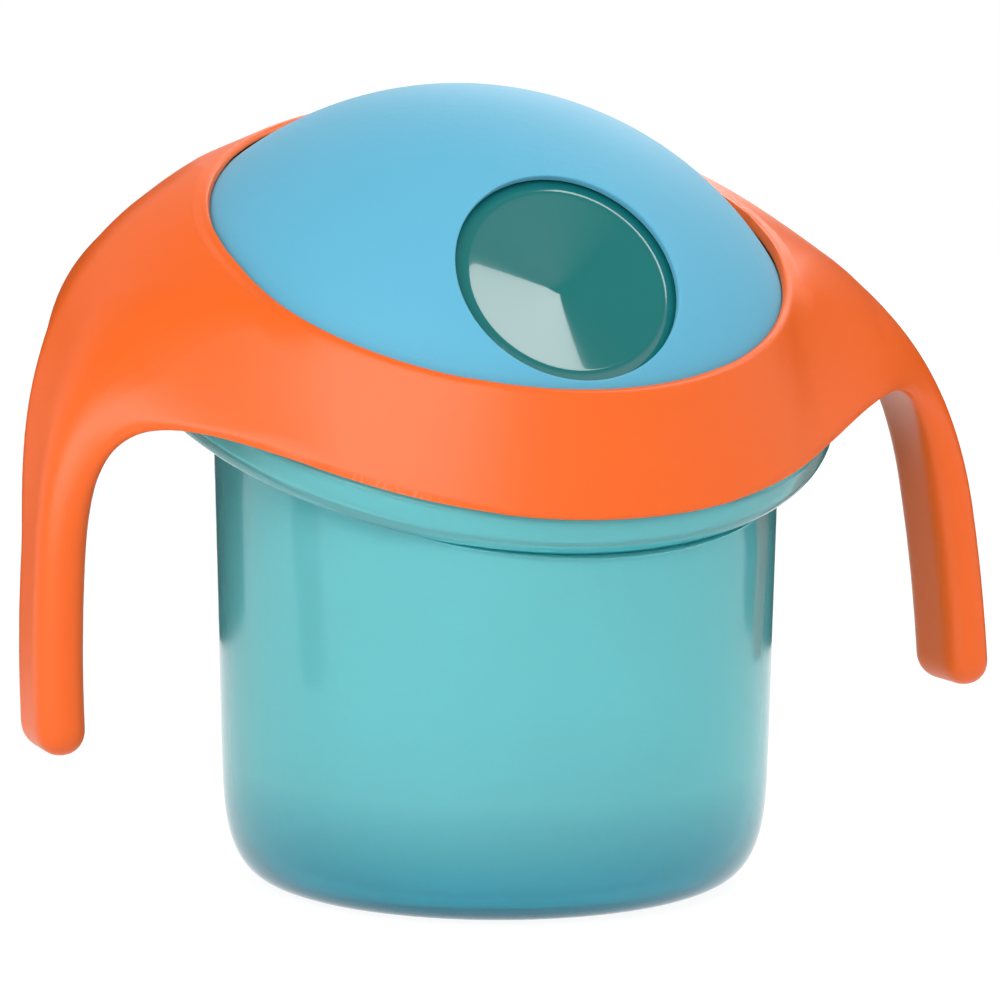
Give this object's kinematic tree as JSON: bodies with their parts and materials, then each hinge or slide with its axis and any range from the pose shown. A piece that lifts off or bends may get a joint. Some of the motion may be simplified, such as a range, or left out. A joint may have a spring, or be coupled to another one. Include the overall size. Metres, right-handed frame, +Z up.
{
  "type": "toddler snack container",
  "caption": "Toddler snack cup: a tilted collar with side handles carries a turning dome whose round hole shows a thumb dish or a serving opening.",
  "frame": {"origin": "centre of the cup's flat base, on the surface it stands on", "axes": "+Z up along the cup's axis, -Y to the front where the head leans, +X to the handle on the right seen from the front"},
  "size_m": [0.1648, 0.1108, 0.1259],
  "materials": {
    "cup": "gloss",
    "collar": "satin",
    "inner_lid": "gloss",
    "dome": "matt"
  },
  "bodies": {
    "cup": {"cup": "cup", "cup_shoulder": "cup"},
    "head": {"collar": "collar", "inner_lid": "inner_lid"},
    "dome": {"dome": "dome"}
  },
  "joints": [
    {"name": "head_lift", "type": "slide", "parent": "cup", "child": "head", "axis": [0, -0.3971, 0.9178], "range_m": [0, 0.04]},
    {"name": "dome_spin", "type": "hinge", "parent": "head", "child": "dome", "pos_m": [0, 0, 0.1016], "axis": [0, -0.3971, 0.9178], "continuous": true}
  ]
}
